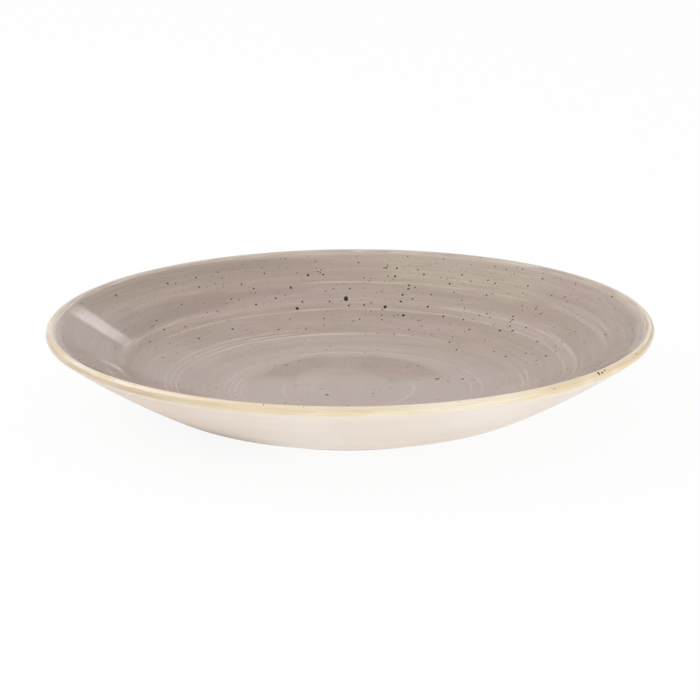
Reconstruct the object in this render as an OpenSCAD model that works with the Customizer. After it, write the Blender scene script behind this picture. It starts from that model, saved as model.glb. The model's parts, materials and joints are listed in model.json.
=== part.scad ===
// Deep coupe plate: one fired stoneware body under four fused coats of glaze.
// Millimetres, +Z up. The origin is the centre of the foot ring, on the table.

/* [Plate] */
// Outside diameter across the lip
plate_d = 280; // [230:1:336]
// Height from the table to the top of the lip
plate_h = 40.5; // [33:0.5:49]

/* [Outside] */
// Thickness of the half-round lip
lip_t = 4.5; // [3.6:0.1:5.6]
// Slope of the wall just under the lip, in degrees
lip_slope = 36; // [32:1:42]
// Slope where the wall runs into the base curve, in degrees
base_slope = 28; // [22:1:30]
// Radius of the base curve, between the wall and the foot
base_curve_r = 58; // [46:1:70]

/* [Well] */
// Radius of the level floor
floor_r = 50; // [40:1:60]
// Thickness of the floor, from the well to the underside
floor_t = 4.6; // [3.8:0.1:5.6]
// Slope of the upper wall, in degrees
well_slope = 31; // [27:1:33]

/* [Foot ring] */
// Outside diameter of the foot ring
foot_d = 145; // [120:1:174]
// Width of the foot ring
foot_w = 5; // [4:0.1:7]
// Height at which the base curve starts, above the table
foot_h = 1.9; // [1.5:0.1:3]
// Height of the underside inside the foot ring, above the table
recess_h = 2.2; // [1.8:0.1:3.2]
// Rounding of the two bottom edges of the foot ring
foot_edge_r = 1.2; // [1:0.1:1.6]
// Radius of the two fillets where the foot ring grows out of the plate
foot_fillet_r = 0.9; // [0.5:0.1:1.2]

/* [Glaze] */
// Thickness of each coat
glaze_t = 0.4; // [0.3:0.05:0.6]
// How far the rim coat runs past the half-round of the lip, on both walls
rim_reach = 1.5; // [0.8:0.1:4]
// Height of the bare clay at the bottom of the foot ring
bare_h = 1.3; // [1:0.1:1.5]

/* [Hidden] */
$fn = 180;

// Arcs that run into each other overlap by this much, so that one clean edge joins them
lap = 0.004;

// Half-round lip, as a circle of the section (radius, height)
lip_r = lip_t / 2;
lip_centre = [plate_d / 2 - lip_r, plate_h - lip_r];

// Normals of the section, pointing from the outside into the plate
lip_normal = [-sin(lip_slope), cos(lip_slope)];
base_normal = [-sin(base_slope), cos(base_slope)];

// Wall arc: it leaves the lip at lip_slope and meets the base curve at base_slope
wall_top = lip_centre - lip_r * lip_normal;
wall_drop = wall_top.y - foot_h - base_curve_r * (1 - cos(base_slope));
wall_curve_r = wall_drop / (cos(base_slope) - cos(lip_slope));
wall_centre = wall_top + wall_curve_r * lip_normal;
wall_foot = wall_centre - wall_curve_r * base_normal;

// Base curve: it carries on from the wall arc until it is level at foot_h
base_centre = wall_foot + base_curve_r * base_normal;

// Well: a level floor, one curve and a straight upper wall that touches the lip
floor_z = recess_h + floor_t;
well_normal = [-sin(well_slope), cos(well_slope)];
well_top = lip_centre + lip_r * well_normal;
well_curve_r = well_normal * ([floor_r, floor_z] - well_top) / (1 - cos(well_slope));
well_centre = [floor_r, floor_z + well_curve_r];
well_foot = well_centre - well_curve_r * well_normal;

// Foot ring
foot_out_r = foot_d / 2;
foot_in_r = foot_out_r - foot_w;
foot_mid_r = foot_out_r - foot_w / 2;

// Outer fillet of the foot ring: it touches the ring's side and the base curve
fillet_run = max(0, foot_out_r + foot_fillet_r - base_centre.x);
fillet_rise = sqrt(pow(base_curve_r + foot_fillet_r, 2) - pow(fillet_run, 2));
fillet_centre = [foot_out_r + foot_fillet_r, base_centre.y - fillet_rise];

// Every section below is cut back by skin: 0 is the finished plate, glaze_t the clay under the glaze

// Open space over the well
module well_section(skin) {
    wall_cut = well_foot - (skin + lap) * well_normal;
    polygon([
        [0, floor_z - skin],
        [floor_r, floor_z - skin],
        wall_cut,
        wall_cut + plate_d * [cos(well_slope), sin(well_slope)],
        [0, plate_d]
    ]);
    translate(well_centre)
        circle(r = well_curve_r + skin + 2 * lap);
}

// Wall arc, from the base curve to the lip
module wall_section(skin) {
    intersection() {
        translate(wall_centre)
            circle(r = wall_curve_r - skin - lap);
        polygon([
            wall_foot + lip_r * base_normal,
            wall_foot - lip_t * base_normal,
            wall_top - lip_t * lip_normal,
            lip_centre
        ]);
    }
}

// Base curve, under the wall arc
module base_section(skin) {
    intersection() {
        translate(base_centre)
            circle(r = base_curve_r - skin);
        square(lip_centre);
    }
}

// Foot ring with rounded bottom edges, carried up into the floor
module foot_section(skin) {
    translate([foot_in_r + foot_edge_r, skin])
        square([foot_w - 2 * foot_edge_r, plate_h]);
    translate([foot_in_r + skin, foot_edge_r])
        square([foot_w - 2 * skin, plate_h]);
    for (r = [foot_in_r + foot_edge_r, foot_out_r - foot_edge_r])
        translate([r, foot_edge_r])
            circle(r = foot_edge_r - skin);
}

// Fillet between the foot ring and the base curve
module fillet_section(skin) {
    touch_share = (foot_fillet_r + skin) / (base_curve_r + foot_fillet_r);
    touch_r = fillet_centre.x - fillet_run * touch_share;
    difference() {
        translate([foot_mid_r, fillet_centre.y])
            square([touch_r - foot_mid_r, plate_h]);
        translate(fillet_centre)
            circle(r = foot_fillet_r + skin + lap);
    }
}

// Hollow under the floor, inside the foot ring, with a filleted corner
module recess_section(skin) {
    corner = [foot_in_r - foot_fillet_r, recess_h - foot_fillet_r];
    square([corner.x, recess_h + skin]);
    square([foot_in_r + skin, corner.y]);
    translate(corner)
        circle(r = foot_fillet_r + skin);
}

// Whole plate
module plate_section(skin) {
    base_z = foot_h + skin + lap;
    difference() {
        union() {
            polygon([
                [0, base_z],
                [base_centre.x, base_z],
                wall_foot + lip_r / 2 * base_normal,
                lip_centre,
                well_top,
                [0, plate_h]
            ]);
            wall_section(skin);
            base_section(skin);
            foot_section(skin);
            fillet_section(skin);
            translate([0, recess_h - foot_fillet_r])
                square([foot_mid_r, plate_h]);
        }
        well_section(skin);
        recess_section(skin);
    }
    translate(lip_centre)
        circle(r = lip_r - skin);
}

// Part of the section that belongs to the rim coat, cut square to both walls
module rim_zone() {
    inside_cut = lip_centre - rim_reach * [cos(well_slope), sin(well_slope)];
    outside_cut = lip_centre - rim_reach * [cos(lip_slope), sin(lip_slope)];
    polygon([
        inside_cut,
        inside_cut + lip_t * well_normal,
        lip_centre + [lip_t, lip_t],
        lip_centre + [lip_t, -lip_t],
        outside_cut - lip_t * lip_normal,
        outside_cut
    ]);
}

// Part of the section below which the foot ring is bare
module bare_zone() {
    square([plate_d, bare_h]);
}

// All the glaze on the plate
module glaze_section() {
    difference() {
        plate_section(0);
        plate_section(glaze_t);
        bare_zone();
    }
}

// Fired stoneware blank with its foot ring
module clay_body() {
    color("tan")
        rotate_extrude() {
            plate_section(glaze_t);
            intersection() {
                plate_section(0);
                bare_zone();
            }
        }
}

// Grey coat that is brushed round the well
module interior_glaze() {
    color("rosybrown")
        rotate_extrude()
            difference() {
                intersection() {
                    plate_section(0);
                    well_section(glaze_t);
                }
                rim_zone();
            }
}

// Honey-coloured band over the lip
module rim_glaze() {
    color("burlywood")
        rotate_extrude()
            intersection() {
                glaze_section();
                rim_zone();
            }
}

// Cream coat on the outside, down to the bare edge of the foot ring
module exterior_glaze() {
    color("linen")
        rotate_extrude()
            difference() {
                glaze_section();
                rim_zone();
                well_section(2 * glaze_t);
                square([foot_mid_r, plate_h]);
            }
}

// Cream coat on the round panel inside the foot ring
module underside_glaze() {
    color("seashell")
        rotate_extrude()
            intersection() {
                glaze_section();
                square([foot_mid_r, recess_h + 2 * glaze_t]);
            }
}

clay_body();
interior_glaze();
rim_glaze();
exterior_glaze();
underside_glaze();
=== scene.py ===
import json
import math
import random

import bpy
import numpy as np
from mathutils import Matrix, Vector

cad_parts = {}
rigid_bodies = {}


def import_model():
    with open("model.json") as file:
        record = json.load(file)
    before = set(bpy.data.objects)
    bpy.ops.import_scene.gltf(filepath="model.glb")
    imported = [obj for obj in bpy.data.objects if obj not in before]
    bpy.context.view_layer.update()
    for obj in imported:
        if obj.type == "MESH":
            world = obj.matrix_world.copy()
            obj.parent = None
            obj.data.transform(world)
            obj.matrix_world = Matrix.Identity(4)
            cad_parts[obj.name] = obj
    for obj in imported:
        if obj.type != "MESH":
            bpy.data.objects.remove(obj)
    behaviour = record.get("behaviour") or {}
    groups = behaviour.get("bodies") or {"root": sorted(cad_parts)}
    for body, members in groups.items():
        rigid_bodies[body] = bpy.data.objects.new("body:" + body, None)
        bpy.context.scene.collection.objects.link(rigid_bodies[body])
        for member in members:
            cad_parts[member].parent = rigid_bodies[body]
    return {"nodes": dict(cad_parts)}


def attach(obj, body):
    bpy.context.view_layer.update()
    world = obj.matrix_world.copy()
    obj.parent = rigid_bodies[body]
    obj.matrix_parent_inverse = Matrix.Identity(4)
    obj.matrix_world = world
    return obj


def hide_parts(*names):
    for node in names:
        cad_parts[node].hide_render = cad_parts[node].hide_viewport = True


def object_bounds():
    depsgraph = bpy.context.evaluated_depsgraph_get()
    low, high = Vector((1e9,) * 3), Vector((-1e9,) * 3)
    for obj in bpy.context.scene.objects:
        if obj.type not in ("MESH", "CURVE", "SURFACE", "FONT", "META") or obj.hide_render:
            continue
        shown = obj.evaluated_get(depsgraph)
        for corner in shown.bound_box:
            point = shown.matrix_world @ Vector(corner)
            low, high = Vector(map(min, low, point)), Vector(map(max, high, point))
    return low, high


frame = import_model()
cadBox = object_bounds()
scene = bpy.context.scene
metre = 1000.0  # millimetres
print("frame:", ", ".join(sorted(frame["nodes"])))

# The section of the plate, in millimetres and degrees, as the CAD has it
plate = {
    "radius": min(cadBox[1].x, cadBox[1].y) * metre,
    "height": cadBox[1].z * metre,
    "lipThickness": 4.5,
    "lipSlope": 36.0,
    "baseSlope": 28.0,
    "baseCurve": 58.0,
    "floorRadius": 50.0,
    "floorThickness": 4.6,
    "wellSlope": 31.0,
    "footRadius": 72.5,
    "footWidth": 5.0,
    "footHeight": 1.9,
    "recessHeight": 2.2,
    "footEdge": 1.2,
    "footFillet": 0.9,
    "glaze": 0.4,
    "rimReach": 1.5,
    "bareHeight": 1.3,
    "sharpAngle": 38.0,
    "spokes": 384,  # divisions round the plate, the same on every coat so that the seams close
}
# Rows along each stretch of the section at full detail
fullRows = {
    "floor": 66,
    "well": 82,
    "wellTop": 46,
    "crest": 26,
    "lipEnd": 3,
    "wall": 56,
    "base": 24,
    "foot": 8,
    "recess": 70,
}


def unit(degrees):
    return np.array([math.cos(math.radians(degrees)), math.sin(math.radians(degrees))])


# Centres and tangent points of the section (radius, height)
lipRadius = plate["lipThickness"] / 2
lipCentre = np.array([plate["radius"] - lipRadius, plate["height"] - lipRadius])
lipNormal = unit(90 + plate["lipSlope"])
baseNormal = unit(90 + plate["baseSlope"])
wellNormal = unit(90 + plate["wellSlope"])
wallTop = lipCentre - lipRadius * lipNormal
baseRise = plate["baseCurve"] * (1 - baseNormal[1])
wallCurve = (wallTop[1] - plate["footHeight"] - baseRise) / (baseNormal[1] - lipNormal[1])
wallCentre = wallTop + wallCurve * lipNormal
baseCentre = wallCentre + (plate["baseCurve"] - wallCurve) * baseNormal
floorHeight = plate["recessHeight"] + plate["floorThickness"]
wellTop = lipCentre + lipRadius * wellNormal
floorEdge = np.array([plate["floorRadius"], floorHeight])
wellCurve = float(wellNormal @ (floorEdge - wellTop)) / (1 - wellNormal[1])
wellCentre = floorEdge + np.array([0, wellCurve])
footInside = plate["footRadius"] - plate["footWidth"]
filletRun = plate["footRadius"] + plate["footFillet"] - baseCentre[0]
filletRise = math.sqrt((plate["baseCurve"] + plate["footFillet"]) ** 2 - filletRun ** 2)
filletCentre = np.array([plate["footRadius"] + plate["footFillet"], baseCentre[1] - filletRise])
filletLean = math.degrees(math.atan2(filletRun, filletRise))
recessCorner = np.array([footInside - plate["footFillet"], plate["recessHeight"] - plate["footFillet"]])


# Stretches of the section: rows of radius, height and the outward normal
def arc(centre, radius, start, end, count, hollow=False):
    rays = np.array([unit(a) for a in np.linspace(start, end, count)])
    return np.hstack([centre + radius * rays, -rays if hollow else rays])


def line(start, end, count):
    share = np.linspace(0, 1, count)[:, None]
    points = np.asarray(start) + share * (np.asarray(end) - np.asarray(start))
    along = (points[-1] - points[0]) / np.linalg.norm(points[-1] - points[0])
    return np.hstack([points, np.tile([-along[1], along[0]], (count, 1))])


def rowsAt(stretch, detail):
    return 2 + round(fullRows[stretch] * detail)


def joined(*stretches):
    rows = [stretches[0]] + [s[1:] for s in stretches[1:]]
    return np.vstack(rows)


# Where the coat of the well ends and the band of the rim begins
def wellSeam(skin):
    return lipCentre - plate["rimReach"] * unit(plate["wellSlope"]) + (lipRadius - skin) * wellNormal


def wellSide(skin, detail):
    floorZ = floorHeight - skin
    turn = plate["wellSlope"] - 90
    bend = arc(wellCentre, wellCurve + skin, -90, turn, rowsAt("well", detail), True)
    return joined(
        line((0, floorZ), (plate["floorRadius"], floorZ), rowsAt("floor", detail)),
        bend,
        line(bend[-1, :2], wellSeam(skin), rowsAt("wellTop", detail)),
    )


def lipSide(skin, detail):
    radius = lipRadius - skin
    outer = lipCentre - plate["rimReach"] * unit(plate["lipSlope"]) - radius * lipNormal
    start = 90 + plate["wellSlope"]
    crest = arc(lipCentre, radius, start, plate["lipSlope"] - 90, rowsAt("crest", detail))
    steps = rowsAt("lipEnd", detail)
    inside = line(wellSeam(skin), crest[0, :2], steps)
    return joined(inside, crest, line(crest[-1, :2], outer, steps))


def outerSide(skin, detail):
    reach = plate["rimReach"] / wallCurve
    start = plate["lipSlope"] - 90 - math.degrees(reach)
    turn = plate["baseSlope"] - 90
    wall = arc(wallCentre, wallCurve - skin, start, turn, rowsAt("wall", detail))
    base = arc(baseCentre, plate["baseCurve"] - skin, turn, filletLean - 90, rowsAt("base", detail))
    lean = 90 + filletLean
    fillet = arc(filletCentre, plate["footFillet"] + skin, lean, 180, rowsAt("foot", detail), True)
    foot = (plate["footRadius"] - skin, plate["bareHeight"])
    return joined(wall, base, fillet, line(fillet[-1, :2], foot, 2))


def recessSide(skin, detail):
    fillet = arc(recessCorner, plate["footFillet"] + skin, 0, 90, rowsAt("foot", detail), True)
    panel = line(fillet[-1, :2], (0, plate["recessHeight"] + skin), rowsAt("recess", detail))
    return joined(fillet, panel)


def bareFoot(detail):
    edge = plate["footEdge"]
    steps = rowsAt("foot", detail)
    outside = arc(np.array([plate["footRadius"] - edge, edge]), edge, 0, -90, steps)
    inside = arc(np.array([footInside + edge, edge]), edge, -90, -180, steps)
    return joined(
        line((plate["footRadius"], plate["bareHeight"]), outside[0, :2], 2),
        outside,
        line(outside[-1, :2], inside[0, :2], steps),
        inside,
        line(inside[-1, :2], (footInside, plate["bareHeight"]), 2),
    )


def smoothStep(value, low, high):
    t = np.clip((value - low) / (high - low), 0, 1)
    return t * t * (3 - 2 * t)


# Throwing rings: shallow hollows that wander a little on their way round
ringRange = {"width": (1.4, 4.2), "depth": (0.25, 1), "sway": (0.1, 0.9)}


def throwingRings(seed, count, inner, outer, deepest):
    draw = random.Random(seed)
    return [
        {
            "radius": draw.uniform(inner, outer),
            "width": draw.uniform(*ringRange["width"]),
            "depth": deepest * draw.uniform(*ringRange["depth"]),
            "sway": draw.uniform(*ringRange["sway"]),
            "turn": draw.uniform(0, 2 * math.pi),
        }
        for _ in range(count)
    ]


def ringDepth(rings, radius, bearing):
    depth = np.zeros(np.broadcast(radius, bearing).shape)
    for ring in rings:
        middle = ring["radius"] + ring["sway"] * np.cos(bearing - ring["turn"])
        wear = 0.65 + 0.35 * np.cos(2 * bearing + ring["turn"])
        depth += ring["depth"] * wear * np.exp(-(((radius - middle) / ring["width"]) ** 2))
    return depth


pointRadius = 1e-6  # a row this near the axis is one point
fewerSpokes = ((5, 8), (12, 4), (28, 2))  # inside each radius, what the spokes are divided by


def spokesAt(radius):
    if radius < pointRadius:
        return 1
    for limit, share in fewerSpokes:
        if radius < limit:
            return plate["spokes"] // share
    return plate["spokes"]


# Corners of the faces between two neighbouring rings; the spoke count may double or halve
def stripCorners(k, n, countA, countB):
    fewest = min(countA, countB)
    j = np.arange(max(countA, countB) if fewest == 1 else fewest)
    if countA == countB:
        return [((k, n, n, k), (j, j, j + 1, j + 1))]
    if countA == 1:
        return [((k, n, n), (0 * j, j, j + 1))]
    if countB == 1:
        return [((k, n, k), (j, 0 * j, j + 1))]
    if countB > countA:
        return [
            ((k, n, n), (j, 2 * j, 2 * j + 1)),
            ((k, n, k), (j, 2 * j + 1, j + 1)),
            ((k, n, n), (j + 1, 2 * j + 1, 2 * j + 2)),
        ]
    return [
        ((k, n, k), (2 * j, j, 2 * j + 1)),
        ((k, n, n), (2 * j + 1, j, j + 1)),
        ((k, n, k), (2 * j + 1, j + 1, 2 * j + 2)),
    ]


# Turns stretches of section, each with its map area, into a closed coat; relief sinks the shown ones
def turnCoat(name, stretches, place, relief=None):
    section = np.vstack([rows for rows, zone in stretches])
    rowZones = [zone for rows, zone in stretches for _ in rows]
    faceZones = [zone if i + 1 < len(rows) else "back" for rows, zone in stretches for i in range(len(rows))]
    counts = np.array([spokesAt(r) for r in section[:, 0]])
    first = np.concatenate([[0], np.cumsum(counts)])
    points = []
    for row, count, zone in zip(section, counts, rowZones):
        bearing = np.arange(count) * 2 * math.pi / count
        lift = -relief(row[0], bearing) if relief and zone == "shown" else np.zeros(count)
        radius = row[0] + lift * row[2] if count > 1 else np.zeros(1)
        height = row[1] + lift * row[3]
        points.append(np.stack([radius * np.cos(bearing), radius * np.sin(bearing), height], axis=1))
    points = np.vstack(points)
    steps = np.linalg.norm(np.diff(section[:, :2], axis=0, append=section[:1, :2]), axis=1)
    length = np.concatenate([[0], np.cumsum(steps)])
    faces = []
    spots = []
    last = len(section)
    for k in range(last if section[0, 0] > pointRadius else last - 1):
        n = (k + 1) % last
        for rings, spokes in stripCorners(k, n, counts[k], counts[n]):
            rings = np.array(rings)
            spokes = np.stack(spokes, axis=1)
            corners = first[rings] + spokes % counts[rings]
            share = np.where(rings == k, length[k], length[k + 1]) / length[-1]
            faces.extend(corners.tolist())
            spots.append(place(faceZones[k], spokes, share, points[corners]).reshape(-1, 2))
    mesh = bpy.data.meshes.new(name)
    mesh.from_pydata((points / metre).tolist(), [], faces)
    finishMesh(mesh, np.vstack(spots))
    piece = bpy.data.objects.new(name, mesh)
    scene.collection.objects.link(piece)
    return piece


def finishMesh(mesh, spots):
    layer = mesh.uv_layers.new(name="OFBake")
    layer.data.foreach_set("uv", np.asarray(spots, dtype=np.float32).ravel())
    mesh.polygons.foreach_set("use_smooth", [True] * len(mesh.polygons))
    mesh.set_sharp_from_angle(angle=math.radians(plate["sharpAngle"]))
    mesh.update()


# Map areas of a round coat: flat discs, the shown one large and the hidden ones small beside it
def discPlace(shownRadius, areas):
    def place(zone, spokes, share, spots):
        centre, size = areas[zone]
        return np.array(centre) + size * spots[..., :2] / shownRadius

    return place


# Map areas of a band: rows that each hold one sector, from the inner seam round to the hidden face
def bandPlace(rows):
    left, width = 0.005, 0.92
    foot, height = 0.03, 0.94
    perRow = plate["spokes"] // rows

    def place(zone, spokes, share, spots):
        row = spokes.min(axis=1)[:, None] // perRow
        along = left + width * (spokes - row * perRow) / perRow
        return np.stack([along, (row + foot + height * share) / rows], axis=2)

    return place


# Map areas, each a centre and a half width
wholeMap = ((0.5, 0.5), 0.49)
cornerMap = ((0.075, 0.925), 0.07)
print("section: well curve", round(wellCurve, 2), "wall curve", round(wallCurve, 1))


# Shader helpers
def srgb(red, green, blue):
    parts = [c / 255 for c in (red, green, blue)]
    return tuple(c / 12.92 if c <= 0.04045 else ((c + 0.055) / 1.055) ** 2.4 for c in parts) + (1.0,)


def addNode(tree, kind, **settings):
    node = tree.nodes.new(kind)
    for key, value in settings.items():
        setattr(node, key, value)
    return node


def feed(tree, socket, source):
    if isinstance(source, bpy.types.NodeSocket):
        tree.links.new(source, socket)
    else:
        socket.default_value = source


def calc(tree, operation, a, b=0.0, c=0.0, clamp=False):
    node = addNode(tree, "ShaderNodeMath", operation=operation, use_clamp=clamp)
    for socket, source in zip(node.inputs, (a, b, c)):
        feed(tree, socket, source)
    return node.outputs[0]


def vectorCalc(tree, operation, a, b=(0.0, 0.0, 0.0)):
    node = addNode(tree, "ShaderNodeVectorMath", operation=operation)
    feed(tree, node.inputs[0], a)
    feed(tree, node.inputs[1], b)
    return node.outputs["Value"] if operation in ("LENGTH", "DOT_PRODUCT") else node.outputs["Vector"]


def remap(tree, value, low, high, newLow=0.0, newHigh=1.0, smooth=True):
    node = addNode(tree, "ShaderNodeMapRange", interpolation_type="SMOOTHSTEP" if smooth else "LINEAR")
    for socket, source in zip(node.inputs[:5], (value, low, high, newLow, newHigh)):
        feed(tree, socket, source)
    return node.outputs[0]


def axes(tree, vector):
    node = addNode(tree, "ShaderNodeSeparateXYZ")
    feed(tree, node.inputs[0], vector)
    return node.outputs


def alongZ(tree, value):
    node = addNode(tree, "ShaderNodeCombineXYZ")
    feed(tree, node.inputs["Z"], value)
    return node.outputs[0]


def blendColour(tree, share, a, b):
    node = addNode(tree, "ShaderNodeMix", data_type="RGBA")
    feed(tree, node.inputs[0], share)
    feed(tree, node.inputs[6], a)
    feed(tree, node.inputs[7], b)
    return node.outputs[2]


def noise(tree, vector, scale, detail=2.0, roughness=0.5):
    node = addNode(tree, "ShaderNodeTexNoise")
    feed(tree, node.inputs["Vector"], vector)
    feed(tree, node.inputs["Scale"], scale)
    node.inputs["Detail"].default_value = detail
    node.inputs["Roughness"].default_value = roughness
    return node.outputs[0]


def colourStops(tree, value, stops):
    node = addNode(tree, "ShaderNodeValToRGB")
    feed(tree, node.inputs[0], value)
    ramp = node.color_ramp
    while len(ramp.elements) < len(stops):
        ramp.elements.new(0.5)
    for element, (place, colour) in zip(ramp.elements, stops):
        element.position = place
        element.color = colour
    return node.outputs[0]


def startGroup(name, inputs, outputs):
    tree = bpy.data.node_groups.new(name, "ShaderNodeTree")
    for label, kind, value in inputs:
        socket = tree.interface.new_socket(label, in_out="INPUT", socket_type="NodeSocket" + kind)
        if value is not None:
            socket.default_value = value
    for label in outputs:
        tree.interface.new_socket(label, in_out="OUTPUT", socket_type="NodeSocketFloat")
    given = addNode(tree, "NodeGroupInput").outputs
    gives = addNode(tree, "NodeGroupOutput").inputs
    return tree, given, gives


def placeGroup(tree, group, **values):
    node = addNode(tree, "ShaderNodeGroup", node_tree=group)
    for label, source in values.items():
        feed(tree, node.inputs[label], source)
    return node.outputs


# Lines that a brush or a jigger leaves round the plate: fast across the radius, slow on the way round
def makeRingLines():
    tree, given, gives = startGroup(
        "ringLines",
        [
            ("Vector", "Vector", None),
            ("Lines", "Float", 0.5),
            ("Turns", "Float", 1.0),
            ("Sway", "Float", 0.6),
        ],
        ["Line", "Radius"],
    )
    flat = vectorCalc(tree, "MULTIPLY", given["Vector"], (metre, metre, 0.0))
    radius = vectorCalc(tree, "LENGTH", flat)
    spin = vectorCalc(tree, "NORMALIZE", flat)
    wander = noise(tree, given["Vector"], 14.0, 1.0)
    swayed = calc(tree, "MULTIPLY_ADD", calc(tree, "SUBTRACT", wander, 0.5), given["Sway"], radius)
    spun = addNode(tree, "ShaderNodeVectorMath", operation="SCALE")
    feed(tree, spun.inputs[0], spin)
    feed(tree, spun.inputs["Scale"], given["Turns"])
    across = alongZ(tree, calc(tree, "MULTIPLY", swayed, given["Lines"]))
    place = vectorCalc(tree, "ADD", spun.outputs["Vector"], across)
    feed(tree, gives["Line"], noise(tree, place, 1.0, 2.0, 0.55))
    feed(tree, gives["Radius"], swayed)
    return tree


# Where a spot lies on the wheel: its radius, with the unsteadiness of a hand, and its bearing
def makeWheelPlace():
    tree, given, gives = startGroup("wheelPlace", [("Vector", "Vector", None)], ["Radius", "Bearing"])
    flat = vectorCalc(tree, "MULTIPLY", given["Vector"], (metre, metre, 0.0))
    parts = axes(tree, flat)
    wander = calc(tree, "SUBTRACT", noise(tree, given["Vector"], 22.0, 1.0), 0.5)
    feed(tree, gives["Radius"], calc(tree, "ADD", vectorCalc(tree, "LENGTH", flat), wander))
    feed(tree, gives["Bearing"], calc(tree, "ARCTAN2", parts["Y"], parts["X"]))
    return tree


# One stroke of the brush: a stretch of a ring with feathered ends and bristle marks
def makeBrushStroke():
    tree, given, gives = startGroup(
        "brushStroke",
        [
            ("Radius", "Float", 0.0),
            ("Bearing", "Float", 0.0),
            ("Bristle", "Float", 0.5),
            ("Ring", "Float", 90.0),
            ("Width", "Float", 2.0),
            ("Facing", "Float", 0.0),
            ("Sweep", "Float", 1.0),
            ("Feather", "Float", 0.3),
            ("Drift", "Float", 0.0),
            ("Wear", "Float", 0.5),
            ("Edge", "Float", 0.35),
        ],
        ["Mask"],
    )
    angle = calc(tree, "WRAP", calc(tree, "SUBTRACT", given["Bearing"], given["Facing"]), math.pi, -math.pi)
    middle = calc(tree, "MULTIPLY_ADD", angle, given["Drift"], given["Ring"])
    off = calc(tree, "ABSOLUTE", calc(tree, "SUBTRACT", given["Radius"], middle))
    body = remap(tree, calc(tree, "DIVIDE", off, given["Width"]), given["Edge"], 1.0, 1.0, 0.0)
    endLow = calc(tree, "SUBTRACT", given["Sweep"], given["Feather"])
    fray = calc(tree, "MULTIPLY", calc(tree, "SUBTRACT", given["Bristle"], 0.5), given["Feather"])
    ragged = calc(tree, "ADD", fray, calc(tree, "ABSOLUTE", angle))
    ends = remap(tree, ragged, endLow, given["Sweep"], 1.0, 0.0)
    worn = remap(tree, given["Bristle"], 0.35, 0.62, -1.0, 0.0)
    marked = calc(tree, "MULTIPLY_ADD", given["Wear"], worn, 1.0)
    feed(tree, gives["Mask"], calc(tree, "MULTIPLY", calc(tree, "MULTIPLY", body, ends), marked, clamp=True))
    return tree


# Iron specks in the glaze and grog in the clay: one in some of the cells, each of its own size
def makeIronDust():
    tree, given, gives = startGroup(
        "ironDust",
        [
            ("Vector", "Vector", None),
            ("Cells", "Float", 250.0),
            ("Size", "Float", 0.12),
            ("Share", "Float", 0.3),
        ],
        ["Mask"],
    )
    cells = addNode(tree, "ShaderNodeTexVoronoi", voronoi_dimensions="2D", feature="F1")
    feed(tree, cells.inputs["Vector"], given["Vector"])
    feed(tree, cells.inputs["Scale"], given["Cells"])
    chance = addNode(tree, "ShaderNodeSeparateColor")
    feed(tree, chance.inputs[0], cells.outputs["Color"])
    here = calc(tree, "LESS_THAN", chance.outputs[0], given["Share"])
    portion = remap(tree, chance.outputs[1], 0.0, 1.0, 0.4, 1.0, False)
    size = calc(tree, "MULTIPLY", given["Size"], portion)
    soft = calc(tree, "MULTIPLY", size, 0.6)
    spot = remap(tree, cells.outputs["Distance"], soft, size, 1.0, 0.0)
    feed(tree, gives["Mask"], calc(tree, "MULTIPLY", spot, here))
    return tree


# The skin of a melted glaze: cloudy colour and a very low swell
def makeGlazeSkin():
    tree, given, gives = startGroup(
        "glazeSkin",
        [("Vector", "Vector", None), ("Cloud", "Float", 30.0), ("Swell", "Float", 120.0)],
        ["Cloud", "Height"],
    )
    feed(tree, gives["Cloud"], noise(tree, given["Vector"], given["Cloud"], 3.0))
    feed(tree, gives["Height"], noise(tree, given["Vector"], given["Swell"], 1.0))
    return tree


ringLines = makeRingLines()
wheelPlace = makeWheelPlace()
brushStroke = makeBrushStroke()
ironDust = makeIronDust()
glazeSkin = makeGlazeSkin()
cloudRange = (0.3, 0.7)  # the part of the cloud noise that the finishes use


def startMaterial(name):
    material = bpy.data.materials.new(name)
    material.use_nodes = True
    tree = material.node_tree
    tree.nodes.clear()
    shader = addNode(tree, "ShaderNodeBsdfPrincipled")
    output = addNode(tree, "ShaderNodeOutputMaterial")
    tree.links.new(shader.outputs[0], output.inputs["Surface"])
    spot = addNode(tree, "ShaderNodeTexCoord").outputs["Object"]
    return material, tree, shader, spot


def addBump(tree, shader, height, distance):
    bump = addNode(tree, "ShaderNodeBump")
    bump.inputs["Strength"].default_value = 1.0
    bump.inputs["Distance"].default_value = distance / metre
    feed(tree, bump.inputs["Height"], height)
    tree.links.new(bump.outputs[0], shader.inputs["Normal"])


# A stroke on the wheel, with its angles in degrees
def strokeMask(tree, wheel, bearing, sweep, feather, **values):
    return placeGroup(
        tree,
        brushStroke,
        Radius=wheel["Radius"],
        Bearing=wheel["Bearing"],
        Facing=math.radians(bearing),
        Sweep=math.radians(sweep),
        Feather=math.radians(feather),
        **values,
    )["Mask"]


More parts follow.
